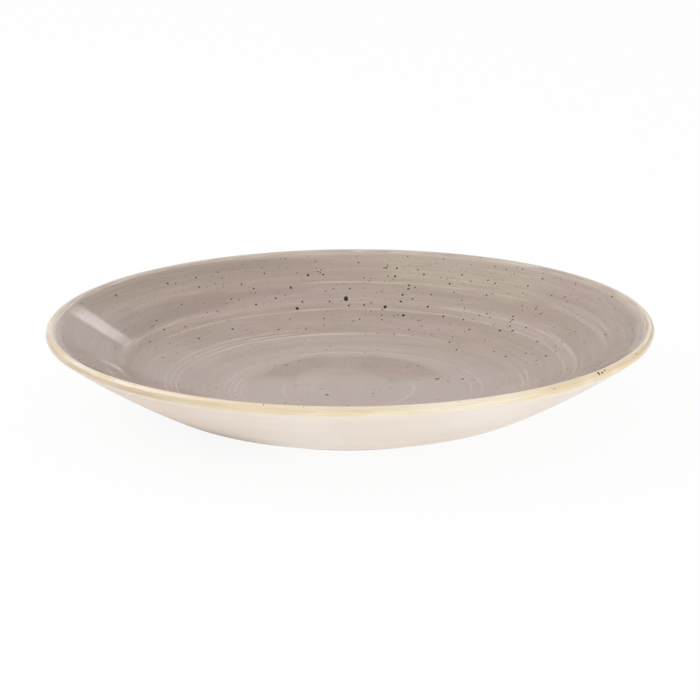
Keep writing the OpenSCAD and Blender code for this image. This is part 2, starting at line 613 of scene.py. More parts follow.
# Grey glaze of the well
well = {
    "taupe": srgb(173, 153, 140),
    "mauve": srgb(179, 160, 150),
    "mist": srgb(187, 168, 159),
    "pale": srgb(210, 192, 180),
    "olive": srgb(164, 147, 130),
    "sage": srgb(196, 182, 164),
    "rose": srgb(184, 161, 150),
    "shade": srgb(151, 133, 124),
    "iron": srgb(92, 74, 64),
    "lipPale": srgb(208, 191, 179),
    "wallRadii": (58.0, 92.0),
    "brushRadii": (30.0, 78.0),
    "mistRadii": (52.0, 84.0),
    "lipRadii": (132.8, 135.6),
    "ringFade": (126, 134),
    "roughness": (0.05, 0.09),
    "bump": 0.007,
    "lipFacing": (0.64, 0.77, 0.0),
    "brushFacing": (0.17, 0.98, 0.0),
    # brush lines from the widest to the finest, and how far the last two lighten and darken
    "lines": {
        "broad": {"Lines": 0.085, "Turns": 0.9, "Sway": 3.0},
        "patch": {"Lines": 0.12, "Turns": 1.5, "Sway": 6.0},
        "medium": {"Lines": 0.42, "Turns": 1.3, "Sway": 1.6},
        "fine": {"Lines": 1.5, "Turns": 5.5, "Sway": 0.6},
    },
    "lineShares": {"medium": (0.16, 0.18), "fine": (0.26, 0.22)},
    "dust": {"Cells": 300.0, "Size": 0.11, "Share": 0.34},
    "dustStrength": 0.75,
    # a dry brush mark on the left, at the foot of the wall
    "mattMark": {
        "bearing": 167.88,
        "sweep": 17.19,
        "feather": 5.73,
        "Ring": 104.0,
        "Width": 4.2,
        "Wear": 0.0,
    },
    "mattRise": 0.3,
    # strokes narrower than these are more worn by the bristles, and softer across
    "wornWidth": 2,
    "softWidth": 4,
    # radius, width, bearing, half sweep, feather and drift of each stroke, with its colour and strength
    "strokes": [
        (125.0, 0.8, 82, 30, 15, 0.0, "pale", 0.34),
        (121.5, 1.3, 34, 42, 12, 0.0, "pale", 0.34),
        (117.0, 0.8, 71, 33, 8, 0.0, "pale", 0.58),
        (118.0, 1.8, 14, 25, 8, 0.0, "pale", 0.36),
        (106.2, 0.9, 148, 22, 8, 0.0, "pale", 0.40),
        (104.4, 1.1, 25, 43, 8, 0.0, "pale", 0.60),
        (102.4, 3.4, 20, 40, 12, 0.0, "pale", 0.24),
        (100.2, 0.8, 106, 57, 15, 0.0, "pale", 0.52),
        (99.2, 1.0, 23, 38, 10, 0.0, "pale", 0.46),
        (105.0, 3.0, 100, 62, 20, 0.0, "pale", 0.16),
        (86.0, 0.9, 157, 56, 12, 0.0, "pale", 0.60),
        (83.3, 0.9, 160, 56, 12, 0.0, "pale", 0.62),
        (80.8, 1.0, 148, 68, 15, 0.0, "pale", 0.64),
        (81.3, 0.8, 86, 34, 12, 0.0, "pale", 0.50),
        (80.2, 1.0, 0, 9, 3, 0.0, "pale", 0.55),
        (82.8, 0.9, 3, 8, 3, 0.0, "pale", 0.45),
        (78.0, 4.0, 110, 66, 20, 0.0, "pale", 0.18),
        (61.0, 1.0, 74, 46, 12, 0.0, "pale", 0.54),
        (61.6, 0.9, 8, 24, 8, 0.0, "pale", 0.45),
        (58.8, 0.9, 158, 26, 10, 0.0, "pale", 0.40),
        (53.5, 1.0, 178, 22, 8, 0.0, "pale", 0.34),
        (50.8, 0.9, 181, 20, 8, 0.0, "pale", 0.32),
        (56.5, 0.9, 6, 20, 8, 0.0, "pale", 0.42),
        (56.2, 0.8, 176, 18, 8, 0.0, "pale", 0.32),
        (31.0, 1.6, 182, 22, 8, 0.0, "pale", 0.28),
        (29.5, 1.1, -22, 42, 12, 0.0, "pale", 0.40),
        (22.0, 7.0, 160, 40, 15, 0.0, "pale", 0.16),
        (19.0, 1.0, 4, 9, 4, 0.0, "shade", 0.55),
        (26.0, 1.6, 166, 7, 3, 0.0, "shade", 0.45),
        (17.0, 0.9, 158, 11, 5, 45.0, "shade", 0.60),
        (106.5, 3.2, 172, 14, 6, 0.0, "pale", 0.25),
        (130.5, 6.5, 136, 34, 8, 0.0, "olive", 0.95),
        (127.0, 6.0, 112, 22, 12, 0.0, "olive", 0.75),
        (113.2, 6.0, 147, 28, 7, 0.0, "shade", 0.56),
        (113.5, 3.0, 112, 14, 6, 0.0, "shade", 0.50),
        (132.5, 4.5, 132, 40, 15, 0.0, "shade", 0.40),
        (124.0, 12.0, 62, 28, 12, 0.0, "sage", 0.55),
        (104.0, 7.0, 66, 34, 15, 0.0, "sage", 0.22),
        (119.0, 11.0, 181, 11, 5, 0.0, "mist", 0.65),
        (136.4, 4.0, 190, 18, 7, 0.0, "pale", 0.55),
        (136.2, 4.0, 197, 14, 6, 0.0, "lipPale", 0.75),
        (107.0, 7.0, 193, 9, 4, 0.0, "shade", 0.36),
        (88.0, 14.0, 168, 26, 12, 0.0, "mist", 0.68),
        (44.5, 10.5, 128, 32, 16, -15.0, "shade", 0.46),
        (39.5, 17.0, 55, 38, 18, 11.0, "shade", 0.48),
        (46.0, 12.0, 92, 28, 14, 0.0, "shade", 0.28),
        (24.0, 6.0, 75, 40, 18, 0.0, "shade", 0.15),
        (119.5, 3.5, 158, 9, 4, 0.0, "shade", 0.28),
        (65.0, 7.0, 50, 24, 10, 0.0, "taupe", 0.34),
        (135.0, 4.0, -12, 13, 6, 0.0, "lipPale", 0.8),
        (78.0, 12.0, -13, 13, 7, 0.0, "pale", 0.36),
    ],
}


def wellMaterial():
    material, tree, shader, spot = startMaterial("greyGlaze")
    lines = {}
    for name, values in well["lines"].items():
        lines[name] = placeGroup(tree, ringLines, Vector=spot, **values)
    radius = lines["broad"]["Radius"]
    skin = placeGroup(tree, glazeSkin, Vector=spot, Cloud=22.0, Swell=90.0)
    wheel = placeGroup(tree, wheelPlace, Vector=spot)
    spin = vectorCalc(tree, "NORMALIZE", spot)
    toward = vectorCalc(tree, "DOT_PRODUCT", spin, well["lipFacing"])
    across = vectorCalc(tree, "DOT_PRODUCT", spin, well["brushFacing"])
    onWall = remap(tree, radius, *well["wallRadii"])
    brushed = remap(tree, radius, *well["brushRadii"], 0.3, 1.0)
    brushed = calc(tree, "MULTIPLY", brushed, remap(tree, across, -0.4, 0.5, 0.25, 1.0))
    colour = blendColour(tree, remap(tree, lines["broad"]["Line"], 0.35, 0.65), well["taupe"], well["mauve"])
    colour = blendColour(tree, remap(tree, radius, *well["mistRadii"], 0.75, 0.0), colour, well["mist"])
    patch = lines["patch"]["Line"]
    olive = calc(tree, "MULTIPLY", remap(tree, patch, 0.5, 0.72, 0.0, 0.4), onWall)
    colour = blendColour(tree, olive, colour, well["olive"])
    rose = calc(tree, "MULTIPLY", remap(tree, patch, 0.46, 0.28, 0.0, 0.5), onWall)
    colour = blendColour(tree, rose, colour, well["rose"])
    for name, (paleShare, darkShare) in well["lineShares"].items():
        mark = lines[name]["Line"]
        pale = calc(tree, "MULTIPLY", remap(tree, mark, 0.54, 0.76, 0.0, paleShare), brushed)
        dark = calc(tree, "MULTIPLY", remap(tree, mark, 0.46, 0.26, 0.0, darkShare), brushed)
        colour = blendColour(tree, pale, colour, well["pale"])
        colour = blendColour(tree, dark, colour, well["shade"])
    bristle = lines["fine"]["Line"]
    for ring, width, bearing, sweep, feather, drift, tint, strength in well["strokes"]:
        mask = strokeMask(
            tree,
            wheel,
            bearing,
            sweep,
            feather,
            Bristle=bristle,
            Ring=ring,
            Width=width,
            Drift=drift,
            Wear=0.65 if width < well["wornWidth"] else 0.5,
            Edge=0.35 if width < well["softWidth"] else 0.65,
        )
        colour = blendColour(tree, calc(tree, "MULTIPLY", mask, strength), colour, well[tint])
    dust = placeGroup(tree, ironDust, Vector=spot, **well["dust"])["Mask"]
    colour = blendColour(tree, calc(tree, "MULTIPLY", dust, well["dustStrength"]), colour, well["iron"])
    thin = remap(tree, radius, *well["lipRadii"], 0.0, 0.65)
    thin = calc(tree, "MULTIPLY", thin, remap(tree, toward, 0.1, 0.7, 0.1, 1.0))
    colour = blendColour(tree, thin, colour, well["lipPale"])
    feed(tree, shader.inputs["Base Color"], colour)
    gloss = remap(tree, skin["Cloud"], *cloudRange, *well["roughness"])
    matt = strokeMask(tree, wheel, **well["mattMark"])
    feed(tree, shader.inputs["Roughness"], calc(tree, "MULTIPLY_ADD", matt, well["mattRise"], gloss))
    height = calc(tree, "MULTIPLY_ADD", bristle, 0.25, skin["Height"])
    addBump(tree, shader, height, well["bump"])
    return material


# Iron flecks that stand a little proud of the glaze: radius, bearing and size across
flecks = {
    "farWall": [
        (107, 91, 3.1), (102, 80, 2.15), (102, 105, 2.1), (97, 74, 1.8), (122, 100, 1.6), (115, 105, 1.7),
        (126, 82, 0.9), (104, 68, 1.3), (121, 79, 1.35), (106, 76, 1.4), (110, 76, 1.4), (123, 97, 0.9),
        (106, 103, 1.2), (126, 79, 1.2), (116, 75, 1.2), (107, 116, 1.3), (103, 86, 1.2), (119, 65, 1.3),
        (108, 73, 1.1), (99, 62, 1.3), (120, 117, 1.1), (125, 63, 1.1), (129, 88, 1.0), (93, 87, 1.0),
        (94, 98, 1.0), (129, 121, 1.0), (124, 56, 1.0), (113, 90, 1.0),
    ],
    "rightWall": [
        (97, 41, 1.5), (99, 37, 1.4), (114, 37, 1.05), (125, 45, 1.1), (95, 13, 1.6), (83, 26, 1.4),
        (134, 20, 1.3), (113, 34, 0.9), (76, 47, 1.3), (81, 53, 1.3),
    ],
    "leftWall": [
        (128, 135, 1.4), (94, 128, 1.3), (130, 151, 1.4), (122, 128, 1.0), (107, 128, 0.9), (105, 149, 1.3),
    ],
    "floor": [(44, 21, 2.3), (14, -140, 1.8), (55, 16, 1.7), (51, 127, 1.6)],
    "scattered": 520,
    "seed": 11,
    "reach": 134,
    "thickest": 78,  # bearing
    "wallRadii": (70, 95),
    "leastShare": 0.25,
    "leastSize": 0.42,
    "sizeSpread": 0.75,
    "outline": 8,
    "stretch": (0.78, 1.02),
    "uneven": (0.88, 1.16),
    "crown": 0.72,
    "rise": 0.045,
    "sink": 0.012,
    "black": srgb(36, 24, 16),
    "brown": srgb(66, 47, 33),
    "roughness": (0.3, 0.45),
}


def fleckMaterial():
    material, tree, shader, spot = startMaterial("ironFleck")
    shader.inputs["Specular IOR Level"].default_value = 0.2
    melt = noise(tree, spot, 1800.0, 2.0)
    feed(tree, shader.inputs["Base Color"], blendColour(tree, melt, flecks["black"], flecks["brown"]))
    feed(tree, shader.inputs["Roughness"], remap(tree, melt, *cloudRange, *flecks["roughness"]))
    return material


def wellHeight(radius):
    if radius <= plate["floorRadius"]:
        return floorHeight, 0.0
    bendEnd = plate["floorRadius"] + wellCurve * math.sin(math.radians(plate["wellSlope"]))
    if radius <= bendEnd:
        lean = math.asin((radius - plate["floorRadius"]) / wellCurve)
        return wellCentre[1] - wellCurve * math.cos(lean), lean
    lean = math.radians(plate["wellSlope"])
    return wellTop[1] - (wellTop[0] - radius) * math.tan(lean), lean


# Small flecks, thickest on the wall across from the front
def scatteredFlecks(draw):
    found = []
    while len(found) < flecks["scattered"]:
        radius = flecks["reach"] * math.sqrt(draw.random())
        bearing = draw.uniform(-180, 180)
        facing = max(0, math.cos(math.radians(bearing - flecks["thickest"])))
        more = (1 - flecks["leastShare"]) * facing * smoothStep(radius, *flecks["wallRadii"])
        likely = flecks["leastShare"] + more
        size = flecks["leastSize"] + flecks["sizeSpread"] * draw.random() ** 1.7
        if draw.random() < likely:
            found.append((radius, bearing, size))
    return found


# A fleck is a flat lens with an uneven outline, bedded in the surface
def fleckLens(surface, position, bearing, size, rise, draw):
    count = flecks["outline"]
    stretch = draw.uniform(*flecks["stretch"])
    rays = []
    for i in range(count):
        angle = 2 * math.pi * i / count
        reach = size / 2 * draw.uniform(*flecks["uneven"])
        rays.append((math.cos(angle) * reach / stretch, math.sin(angle) * reach * stretch))
    crown = [(flecks["crown"] * out, flecks["crown"] * along) for out, along in rays]
    flat = rays + crown + [(0, 0), (0, 0)]
    lifts = [-flecks["sink"]] * count + [0.8 * rise] * count + [rise, -5 * flecks["sink"]]
    points = []
    for (out, along), lift in zip(flat, lifts):
        spot, normal = surface(position, bearing, out, along)
        points.append(spot + lift * normal)
    faces = []
    for i in range(count):
        n = (i + 1) % count
        faces.append((i, n, count + n, count + i))
        faces.append((count + i, count + n, 2 * count))
        faces.append((n, i, 2 * count + 1))
    return points, flat, faces


# Joins flecks to a coat as its second material; their map is a grid of cells in a free corner
def addFlecks(piece, spots, draw, surface, rise, corner, side):
    mesh = piece.data
    points = [tuple(v.co) for v in mesh.vertices]
    faces = [tuple(p.vertices) for p in mesh.polygons]
    layer = np.zeros(len(mesh.loops) * 2, dtype=np.float32)
    mesh.uv_layers["OFBake"].data.foreach_get("uv", layer)
    places = layer.reshape(-1, 2).tolist()
    coatFaces = len(faces)
    grid = math.ceil(math.sqrt(len(spots)))
    cell = side / grid
    for number, (position, bearing, size) in enumerate(spots):
        lift = rise * min(1.6, 0.6 + size / 2)
        lens, flat, lensFaces = fleckLens(surface, position, math.radians(bearing), size, lift, draw)
        start = len(points)
        points.extend(tuple(p / metre) for p in lens)
        cellX = corner[0] + cell * (number % grid + 0.5)
        cellY = corner[1] + cell * (number // grid + 0.5)
        for face in lensFaces:
            faces.append(tuple(start + i for i in face))
            for i in face:
                shiftX, shiftY = [part / size * 0.6 * cell for part in flat[i]]
                places.append((cellX + shiftX, cellY + shiftY))
    flecked = bpy.data.meshes.new(piece.name + "Flecked")
    flecked.from_pydata(points, [], faces)
    finishMesh(flecked, places)
    flecked.polygons.foreach_set("material_index", [0] * coatFaces + [1] * (len(faces) - coatFaces))
    piece.data = flecked
    bpy.data.meshes.remove(mesh)


wellRings = throwingRings(seed=5, count=26, inner=12, outer=128, deepest=0.008)


def wellRelief(radius, bearing):
    return ringDepth(wellRings, radius, bearing) * (1 - smoothStep(radius, *well["ringFade"]))


# A spot on a turned face and the direction out of the glaze there
def turnedSpot(radius, height, lean, bearing):
    east = math.cos(bearing)
    north = math.sin(bearing)
    normal = np.array([-math.sin(lean) * east, -math.sin(lean) * north, math.cos(lean)])
    return np.array([radius * east, radius * north, height]), normal


def wellSurface(radius, bearing, out, along):
    turned = bearing + along / radius
    radius = radius + out * math.cos(wellHeight(radius)[1])
    height, lean = wellHeight(radius)
    spot, normal = turnedSpot(radius, height, lean, turned)
    return spot - float(wellRelief(radius, turned)) * normal, normal


def interiorCoat():
    shown = wellSide(0, 0.85)
    back = wellSide(plate["glaze"], 0.1)[::-1]
    areas = {"shown": wholeMap, "back": cornerMap}
    place = discPlace(shown[-1, 0], areas)
    piece = turnCoat("interiorGlaze", [(shown, "shown"), (back, "back")], place, wellRelief)
    draw = random.Random(flecks["seed"])
    spots = flecks["farWall"] + flecks["rightWall"] + flecks["leftWall"] + flecks["floor"]
    addFlecks(piece, spots + scatteredFlecks(draw), draw, wellSurface, flecks["rise"], (0.86, 0.86), 0.13)
    piece.data.materials.append(wellMaterial())
    piece.data.materials.append(ironFleck)
    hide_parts("interior_glaze")
    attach(piece, "root")
    return piece


ironFleck = fleckMaterial()
interiorGlaze = interiorCoat()
print("interior glaze:", len(interiorGlaze.data.polygons), "faces")

# Honey band over the lip
rim = {
    # colours round the half-round on four sides: degrees up from its widest point, 90 at the crest; the left
    # and side ones hold painted highlight lines and painted light and shade
    # left: a painted highlight line at 46 to 76 degrees, and the inside of the crest painted lighter where
    # the key light falls less
    "left": [
        (-86, srgb(226, 211, 191)),
        (-50, srgb(225, 208, 185)),
        (-33, srgb(219, 202, 177)),
        (-14, srgb(212, 195, 168)),
        (4, srgb(211, 193, 165)),
        (20, srgb(217, 199, 172)),
        (34, srgb(234, 216, 192)),
        (46, srgb(251, 236, 215)),
        (60, srgb(252, 238, 219)),
        (76, srgb(246, 230, 213)),
        (92, srgb(241, 223, 208)),
        (112, srgb(238, 219, 204)),
        (135, srgb(228, 209, 195)),
        (156, srgb(214, 196, 185)),
    ],
    "right": [
        (-86, srgb(236, 224, 205)),
        (-54, srgb(237, 223, 199)),
        (-30, srgb(238, 228, 202)),
        (0, srgb(238, 224, 190)),
        (20, srgb(236, 220, 184)),
        (40, srgb(230, 214, 184)),
        (57, srgb(237, 221, 193)),
        (95, srgb(234, 218, 195)),
        (120, srgb(206, 190, 174)),
        (140, srgb(214, 198, 186)),
        (156, srgb(190, 173, 162)),
    ],
    # side: a painted highlight line at 72 to 91 degrees; the darker band from -45 to 40 degrees is partly
    # painted shade
    "side": [
        (-86, srgb(238, 228, 208)),
        (-45, srgb(212, 200, 171)),
        (-20, srgb(201, 187, 154)),
        (0, srgb(203, 188, 152)),
        (40, srgb(208, 192, 156)),
        (60, srgb(220, 204, 173)),
        (72, srgb(246, 231, 209)),
        (82, srgb(255, 243, 224)),
        (91, srgb(246, 229, 210)),
        (104, srgb(222, 203, 182)),
        (120, srgb(198, 177, 156)),
        (134, srgb(206, 187, 172)),
        (156, srgb(202, 184, 174)),
    ],
    "back": [
        (-86, srgb(238, 229, 216)),
        (-50, srgb(240, 230, 212)),
        (10, srgb(234, 217, 182)),
        (60, srgb(230, 213, 186)),
        (76, srgb(218, 204, 186)),
        (92, srgb(204, 191, 174)),
        (110, srgb(188, 174, 160)),
        (156, srgb(180, 164, 152)),
    ],
    "pale": srgb(242, 229, 211),
    "ochre": srgb(217, 192, 152),
    "straw": srgb(226, 211, 172),
    "gold": srgb(224, 196, 156),
    "tan": srgb(232, 209, 174),
    "cream": srgb(243, 230, 211),
    "iron": srgb(96, 72, 52),
    # degrees up the half-round, bearing and size across
    "flecks": [
        (56, -40, 1.5), (44, -39, 1.2), (36, -40, 1.0), (60, -38, 1.0), (48, -25, 0.9), (68, -105, 0.7),
        (62, -71, 0.5), (66, -98, 0.5), (70, -131, 0.5), (34, -52, 0.5), (60, 12, 0.6), (118, 61, 0.6),
    ],
    # bearing, half sweep, feather, colour and strength
    "patches": [
        (-108, 16, 8, "tan", 0.50),
        (-91, 5, 3, "ochre", 0.25),
        (-70, 12, 5, "cream", 0.75),
        (-49, 6, 3, "ochre", 0.50),
        (-39, 4, 2, "ochre", 0.40),
        (-26, 11, 5, "gold", 0.68),
        (-122, 7, 4, "straw", 0.30),
        (-139, 4, 3, "gold", 0.50),
        (160, 14, 8, "ochre", 0.40),
        (-163, 11, 6, "ochre", 0.70),
    ],
    "patchRing": plate["radius"] - 1.5,
    "patchWidth": 4.0,
    "dust": {"Cells": 120.0, "Size": 0.04, "Share": 0.1},
    "roughness": (0.12, 0.2),
    "bump": 0.02,
    "fleckRise": 0.02,
    "bandRows": 12,
}


def rimMaterial():
    material, tree, shader, spot = startMaterial("honeyGlaze")
    flat = vectorCalc(tree, "MULTIPLY", spot, (metre, metre, 0.0))
    out = calc(tree, "SUBTRACT", vectorCalc(tree, "LENGTH", flat), float(lipCentre[0]))
    rise = calc(tree, "SUBTRACT", calc(tree, "MULTIPLY", axes(tree, spot)["Z"], metre), float(lipCentre[1]))
    turn = calc(tree, "ARCTAN2", rise, out)
    skin = placeGroup(tree, glazeSkin, Vector=spot, Cloud=45.0, Swell=160.0)
    wander = calc(tree, "MULTIPLY_ADD", calc(tree, "SUBTRACT", skin["Cloud"], 0.5), 0.5, turn)
    low, high = rim["left"][0][0], rim["left"][-1][0]
    share = remap(tree, wander, math.radians(low), math.radians(high), 0.0, 1.0, False)
    spin = vectorCalc(tree, "NORMALIZE", flat)
    sides = axes(tree, spin)
    ramps = {}
    # the ramps blend the honey colour with painted highlight lines and painted light and shade, by bearing
    for side in ("left", "right", "side", "back"):
        stops = [((degrees - low) / (high - low), tint) for degrees, tint in rim[side]]
        ramps[side] = colourStops(tree, share, stops)
    toRight = remap(tree, sides["X"], -0.62, -0.22)
    toSide = remap(tree, sides["X"], 0.87, 0.95)
    backward = calc(tree, "MULTIPLY_ADD", sides["X"], -0.1, sides["Y"])
    toBack = remap(tree, backward, 0.0, 0.42)
    colour = blendColour(tree, toRight, ramps["left"], ramps["right"])
    colour = blendColour(tree, toSide, colour, ramps["side"])
    colour = blendColour(tree, toBack, colour, ramps["back"])
    lengthwise = alongZ(tree, calc(tree, "MULTIPLY", turn, 6.0))
    spread = vectorCalc(tree, "MULTIPLY", spin, (7.0, 7.0, 0.0))
    streak = noise(tree, vectorCalc(tree, "ADD", spread, lengthwise), 1.0, 2.0)
    colour = blendColour(tree, remap(tree, streak, 0.49, 0.61, 0.0, 0.55), colour, rim["pale"])
    onBand = calc(tree, "MULTIPLY", remap(tree, turn, 1.9, 1.2), remap(tree, turn, -0.95, -0.5))
    golden = calc(tree, "MULTIPLY", remap(tree, streak, 0.48, 0.38, 0.0, 0.55), onBand)
    colour = blendColour(tree, golden, colour, rim["ochre"])
    wheel = placeGroup(tree, wheelPlace, Vector=spot)
    for bearing, sweep, feather, tint, strength in rim["patches"]:
        patch = strokeMask(
            tree,
            wheel,
            bearing,
            sweep,
            feather,
            Bristle=streak,
            Ring=rim["patchRing"],
            Width=rim["patchWidth"],
            Edge=0.5,
        )
        patch = calc(tree, "MULTIPLY", calc(tree, "MULTIPLY", patch, onBand), strength)
        colour = blendColour(tree, patch, colour, rim[tint])
    dust = placeGroup(tree, ironDust, Vector=spot, **rim["dust"])["Mask"]
    colour = blendColour(tree, calc(tree, "MULTIPLY", dust, 0.7), colour, rim["iron"])
    feed(tree, shader.inputs["Base Color"], colour)
    feed(tree, shader.inputs["Roughness"], remap(tree, skin["Cloud"], *cloudRange, *rim["roughness"]))
    addBump(tree, shader, skin["Height"], rim["bump"])
    return material


def lipSurface(degrees, bearing, out, along):
    degrees = degrees - math.degrees(out / lipRadius)
    spot = lipCentre + lipRadius * unit(degrees)
    return turnedSpot(spot[0], spot[1], math.radians(degrees - 90), bearing + along / spot[0])


def rimCoat():
    shown = lipSide(0, 1.0)
    back = lipSide(plate["glaze"], 0.3)[::-1]
    piece = turnCoat("rimGlaze", [(shown, "shown"), (back, "back")], bandPlace(rim["bandRows"]))
    draw = random.Random(flecks["seed"])
    addFlecks(piece, rim["flecks"], draw, lipSurface, rim["fleckRise"], (0.94, 0.01), 0.05)
    piece.data.materials.append(rimMaterial())
    piece.data.materials.append(ironFleck)
    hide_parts("rim_glaze")
    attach(piece, "root")
    return piece


rimGlaze = rimCoat()
print("rim glaze:", len(rimGlaze.data.polygons), "faces")

# Cream glaze of the outside and the underside
cream = {
    "light": srgb(240, 230, 220),
    "warm": srgb(234, 223, 211),
    "thin": srgb(224, 210, 194),
    # painted shade: a darker, warmer tint laid over the left side
    "leftShadeTint": srgb(228, 211, 195),
    "iron": srgb(150, 126, 104),
    "roughness": (0.34, 0.44),
    "bump": 0.006,
    # how close the ring lines are, the share of specks, the height where the foot thins, and how strongly
    # the left side is darkened as painted shade
    "outside": {"lines": 0.16, "dustShare": 0.10, "footThin": 3.5, "leftShade": 0.85},
    "underside": {"lines": 0.22, "dustShare": 0.12, "footThin": 1.9, "leftShade": 0.3},
    "outsideFade": ((78, 84), (130, 136)),
    "undersideFade": (56, 63),
}


def creamMaterial(name, lines, dustShare, footThin, leftShade):
    material, tree, shader, spot = startMaterial(name)
    shader.inputs["Specular IOR Level"].default_value = 0.1
    rings = placeGroup(tree, ringLines, Vector=spot, Lines=lines, Turns=0.8, Sway=2.0)
    fine = placeGroup(tree, ringLines, Vector=spot, Lines=lines * 6, Turns=2.0, Sway=0.6)
    skin = placeGroup(tree, glazeSkin, Vector=spot, Cloud=26.0, Swell=95.0)
    colour = blendColour(tree, remap(tree, skin["Cloud"], 0.3, 0.72), cream["light"], cream["warm"])
    colour = blendColour(tree, remap(tree, rings["Line"], 0.5, 0.75, 0.0, 0.35), colour, cream["thin"])
    colour = blendColour(tree, remap(tree, fine["Line"], 0.55, 0.8, 0.0, 0.15), colour, cream["thin"])
    parts = axes(tree, spot)
    # painted shade: the left side of the cream glaze is darker and warmer
    leftward = calc(tree, "MULTIPLY", parts["X"], -metre / plate["radius"])
    colour = blendColour(tree, remap(tree, leftward, 0.05, 0.65, 0.0, leftShade), colour, cream["leftShadeTint"])
    height = calc(tree, "MULTIPLY", parts["Z"], metre)
    low = remap(tree, height, footThin, plate["bareHeight"], 0.0, 0.8)
    colour = blendColour(tree, low, colour, cream["thin"])
    dust = placeGroup(tree, ironDust, Vector=spot, Cells=90.0, Size=0.035, Share=dustShare)
    colour = blendColour(tree, calc(tree, "MULTIPLY", dust["Mask"], 0.6), colour, cream["iron"])
    feed(tree, shader.inputs["Base Color"], colour)
    feed(tree, shader.inputs["Roughness"], remap(tree, skin["Cloud"], *cloudRange, *cream["roughness"]))
    swell = calc(tree, "MULTIPLY_ADD", fine["Line"], 0.25, skin["Height"])
    addBump(tree, shader, swell, cream["bump"])
    return material


outsideRings = throwingRings(seed=23, count=18, inner=78, outer=134, deepest=0.012)
undersideRings = throwingRings(seed=31, count=12, inner=8, outer=60, deepest=0.03)


def outsideRelief(radius, bearing):
    start, end = cream["outsideFade"]
    fade = smoothStep(radius, *start) * (1 - smoothStep(radius, *end))
    return ringDepth(outsideRings, radius, bearing) * fade


def undersideRelief(radius, bearing):
    return ringDepth(undersideRings, radius, bearing) * (1 - smoothStep(radius, *cream["undersideFade"]))


def exteriorCoat():
    shown = outerSide(0, 1.0)
    back = outerSide(plate["glaze"], 0.15)[::-1]
    areas = {"shown": wholeMap, "back": ((0.5, 0.5), 0.23)}
    place = discPlace(shown[0, 0], areas)
    piece = turnCoat("exteriorGlaze", [(back, "back"), (shown, "shown")], place, outsideRelief)
    piece.data.materials.append(creamMaterial("creamGlaze", **cream["outside"]))
    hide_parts("exterior_glaze")
    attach(piece, "root")
    return piece


def undersideCoat():
    shown = recessSide(0, 1.0)
    back = recessSide(plate["glaze"], 0.1)[::-1]
    areas = {"shown": wholeMap, "back": cornerMap}
    place = discPlace(shown[0, 0], areas)
    piece = turnCoat("undersideGlaze", [(back, "back"), (shown, "shown")], place, undersideRelief)
    piece.data.materials.append(creamMaterial("undersideCream", **cream["underside"]))
    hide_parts("underside_glaze")
    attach(piece, "root")
    return piece


exteriorGlaze = exteriorCoat()
undersideGlaze = undersideCoat()
print("cream glaze:", len(exteriorGlaze.data.polygons), "and", len(undersideGlaze.data.polygons), "faces")

# Bare stoneware, seen only on the foot ring
clay = {
    "buff": srgb(206, 188, 164),
    "sand": srgb(190, 168, 142),
    "grog": srgb(128, 104, 84),
    "worn": srgb(176, 158, 138),
    "grains": {"Cells": 700.0, "Size": 0.3, "Share": 0.3},
    "roughness": (0.7, 0.92),
    "bump": 0.05,
}


def clayMaterial():
    material, tree, shader, spot = startMaterial("bareClay")
    skin = placeGroup(tree, glazeSkin, Vector=spot, Cloud=160.0, Swell=900.0)
    grog = placeGroup(tree, ironDust, Vector=spot, **clay["grains"])
    rings = placeGroup(tree, ringLines, Vector=spot, Lines=2.2, Turns=3.0, Sway=0.4)
    colour = blendColour(tree, skin["Cloud"], clay["buff"], clay["sand"])
    colour = blendColour(tree, remap(tree, rings["Line"], 0.5, 0.75, 0.0, 0.5), colour, clay["worn"])
    colour = blendColour(tree, calc(tree, "MULTIPLY", grog["Mask"], 0.6), colour, clay["grog"])
    feed(tree, shader.inputs["Base Color"], colour)
    feed(tree, shader.inputs["Roughness"], remap(tree, skin["Cloud"], *cloudRange, *clay["roughness"]))
    height = calc(tree, "MULTIPLY_ADD", rings["Line"], 0.6, skin["Height"])
    addBump(tree, shader, height, clay["bump"])
    return material


def clayBody():
    glaze = plate["glaze"]
    top = np.vstack([wellSide(glaze, 0.1), lipSide(glaze, 0.3)[1:], outerSide(glaze, 0.15)[1:]])
    foot = bareFoot(1.0)
    under = recessSide(glaze, 0.1)
    areas = {"shown": wholeMap, "back": ((0.29, 0.5), 0.1), "under": ((0.71, 0.5), 0.2)}
    place = discPlace(foot[0, 0], areas)
    piece = turnCoat("clayBody", [(top, "back"), (foot, "shown"), (under, "under")], place)
    piece.data.materials.append(clayMaterial())
    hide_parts("clay_body")
    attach(piece, "root")
    return piece


clayPiece = clayBody()
print("clay body:", len(clayPiece.data.polygons), "faces")

# Floor: white to the camera; left of the foot a painted shadow, dark to reflections and bounced light, gives
# the plate less light and a duller reflection
studio = {
    "floorSize": 12.0,
    "floorColour": (0.95, 0.95, 0.95, 1.0),
    "floorGlow": 0.92,
    "floorLight": 0.5,
    "shadeColour": (0.2, 0.2, 0.2, 1.0),
    "shadeShare": 0.62,
    "shadeInner": 0.092,
    "shadeOuter": 0.106,
    "shadeLeft": -0.062,
    "shadeRight": -0.018,
    "skyBase": 0.30,
    "skyRise": 0.70,
    "skyPower": 0.6,
}


